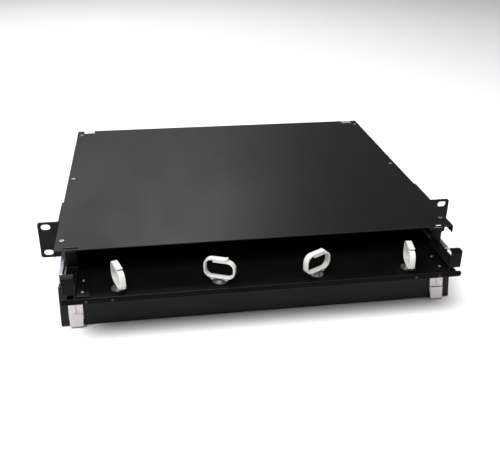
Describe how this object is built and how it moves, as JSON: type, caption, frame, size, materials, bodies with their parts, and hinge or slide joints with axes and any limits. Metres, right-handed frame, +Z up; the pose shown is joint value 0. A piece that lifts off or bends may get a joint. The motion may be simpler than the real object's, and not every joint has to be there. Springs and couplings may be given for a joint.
{
  "type": "fiber termination box",
  "caption": "Rack-mount fibre termination box: sliding splice and patch drawer with swivelling cord rings, hinged latching doors at both ends, and slotted rack ears.",
  "frame": {"origin": "centre of the rack-ear hole pattern, in the plane of the ears' front faces", "axes": "+X across the rack to the right seen from the front, +Y towards the back, +Z up; the drawer comes out along -Y"},
  "size_m": [0.4826, 0.4303, 0.0848],
  "materials": {
    "black_powder_coat": "fine satin powder coat on folded sheet steel",
    "zinc_plate": "zinc-plated pressed steel",
    "bright_screws": "bright nickel-plated",
    "hardened_steel": "polished hardened steel",
    "cage_brass": "dull brass",
    "white_plastic": "natural white nylon",
    "clear_plastic": "clear moulded plastic",
    "blue_plastic": "moulded blue plastic",
    "cap_plastic": "soft white plastic",
    "grey_plastic": "pale grey moulded plastic",
    "splice_comb": "black moulded plastic",
    "sleeve_plastic": "clear heat-shrunk sleeve",
    "black_rubber": "matt black rubber"
  },
  "bodies": {
    "chassis": {"base_shell": "black_powder_coat", "cable_clamps": "zinc_plate", "cable_grommets": "black_rubber", "cover_screws": "bright_screws", "earth_stud": "cage_brass", "front_hinge_pins": "hardened_steel", "front_housing_hinge_leaves": "zinc_plate", "outer_rail_left": "zinc_plate", "outer_rail_right": "zinc_plate", "rack_ear_left": "black_powder_coat", "rack_ear_right": "black_powder_coat", "rack_ear_screws": "bright_screws", "rear_hinge_pins": "hardened_steel", "rear_housing_hinge_leaves": "zinc_plate", "top_cover": "black_powder_coat"},
    "drawer": {"adapter_panel": "black_powder_coat", "adapter_panel_screws": "bright_screws", "cord_guide_left": "black_powder_coat", "cord_guide_right": "black_powder_coat", "cord_guide_screws": "bright_screws", "drawer_tray": "black_powder_coat", "dust_caps_front": "cap_plastic", "dust_caps_rear": "cap_plastic", "fibre_adapters": "blue_plastic", "fibre_spools": "grey_plastic", "inner_rail_left": "zinc_plate", "inner_rail_right": "zinc_plate", "lip_screws": "bright_screws", "ring_bases": "clear_plastic", "splice_holder": "splice_comb", "splice_sleeves": "sleeve_plastic", "splice_tray": "grey_plastic", "splice_tray_lid": "clear_plastic"},
    "front_door": {"front_door_hinge_leaves": "zinc_plate", "front_door_panel": "black_powder_coat", "front_latch_housings": "zinc_plate", "front_latch_spring_left": "hardened_steel", "front_latch_spring_right": "hardened_steel"},
    "rear_door": {"rear_door_hinge_leaves": "zinc_plate", "rear_door_panel": "black_powder_coat", "rear_latch_housings": "zinc_plate", "rear_latch_spring_left": "hardened_steel", "rear_latch_spring_right": "hardened_steel"},
    "left_cage": {"ball_cage_left": "cage_brass", "slide_balls_left": "hardened_steel"},
    "right_cage": {"ball_cage_right": "cage_brass", "slide_balls_right": "hardened_steel"},
    "ring_1": {"cord_ring_1": "white_plastic"},
    "ring_2": {"cord_ring_2": "white_plastic"},
    "ring_3": {"cord_ring_3": "white_plastic"},
    "ring_4": {"cord_ring_4": "white_plastic"},
    "front_latch_left": {"front_latch_tongue_left": "zinc_plate"},
    "front_latch_right": {"front_latch_tongue_right": "zinc_plate"},
    "rear_latch_left": {"rear_latch_tongue_left": "zinc_plate"},
    "rear_latch_right": {"rear_latch_tongue_right": "zinc_plate"}
  },
  "joints": [
    {"name": "drawer_slide", "type": "slide", "parent": "chassis", "child": "drawer", "axis": [0, -1, 0], "range_m": [-0.0545, 0.15]},
    {"name": "left_cage_slide", "type": "slide", "parent": "chassis", "child": "left_cage", "axis": [0, -1, 0], "range_m": [-0.02726, 0.0751]},
    {"name": "right_cage_slide", "type": "slide", "parent": "chassis", "child": "right_cage", "axis": [0, -1, 0], "range_m": [-0.02726, 0.0751]},
    {"name": "front_door_hinge", "type": "hinge", "parent": "chassis", "child": "front_door", "pos_m": [0, -0.0706, -0.0205], "axis": [-1, 0, 0], "range_deg": [0, 72]},
    {"name": "rear_door_hinge", "type": "hinge", "parent": "chassis", "child": "rear_door", "pos_m": [0, 0.3106, -0.0205], "axis": [-1, 0, 0], "range_deg": [0, 170]},
    {"name": "ring_1_swivel", "type": "hinge", "parent": "drawer", "child": "ring_1", "pos_m": [-0.152, -0.1009, 0], "axis": [0, 0, 1], "continuous": true},
    {"name": "ring_2_swivel", "type": "hinge", "parent": "drawer", "child": "ring_2", "pos_m": [-0.0492, -0.1009, 0], "axis": [0, 0, 1], "continuous": true},
    {"name": "ring_3_swivel", "type": "hinge", "parent": "drawer", "child": "ring_3", "pos_m": [0.0531, -0.1009, 0], "axis": [0, 0, 1], "continuous": true},
    {"name": "ring_4_swivel", "type": "hinge", "parent": "drawer", "child": "ring_4", "pos_m": [0.1545, -0.1009, 0], "axis": [0, 0, 1], "continuous": true},
    {"name": "front_latch_left_slide", "type": "slide", "parent": "front_door", "child": "front_latch_left", "axis": [0, 0.2079, 0.9781], "range_m": [0, 0.0043], "stiffness_N_per_m": 300, "springref_m": -0.004, "deforming": ["front_latch_spring_left"]},
    {"name": "front_latch_right_slide", "type": "slide", "parent": "front_door", "child": "front_latch_right", "axis": [0, 0.2079, 0.9781], "range_m": [0, 0.0043], "stiffness_N_per_m": 300, "springref_m": -0.004, "deforming": ["front_latch_spring_right"]},
    {"name": "rear_latch_left_slide", "type": "slide", "parent": "rear_door", "child": "rear_latch_left", "axis": [0, 0, -1], "range_m": [0, 0.0043], "stiffness_N_per_m": 300, "springref_m": -0.004, "deforming": ["rear_latch_spring_left"]},
    {"name": "rear_latch_right_slide", "type": "slide", "parent": "rear_door", "child": "rear_latch_right", "axis": [0, 0, -1], "range_m": [0, 0.0043], "stiffness_N_per_m": 300, "springref_m": -0.004, "deforming": ["rear_latch_spring_right"]}
  ],
  "couplings": [
    {"joint": "left_cage_slide", "follows": "drawer_slide", "ratio": 0.5},
    {"joint": "right_cage_slide", "follows": "drawer_slide", "ratio": 0.5}
  ]
}
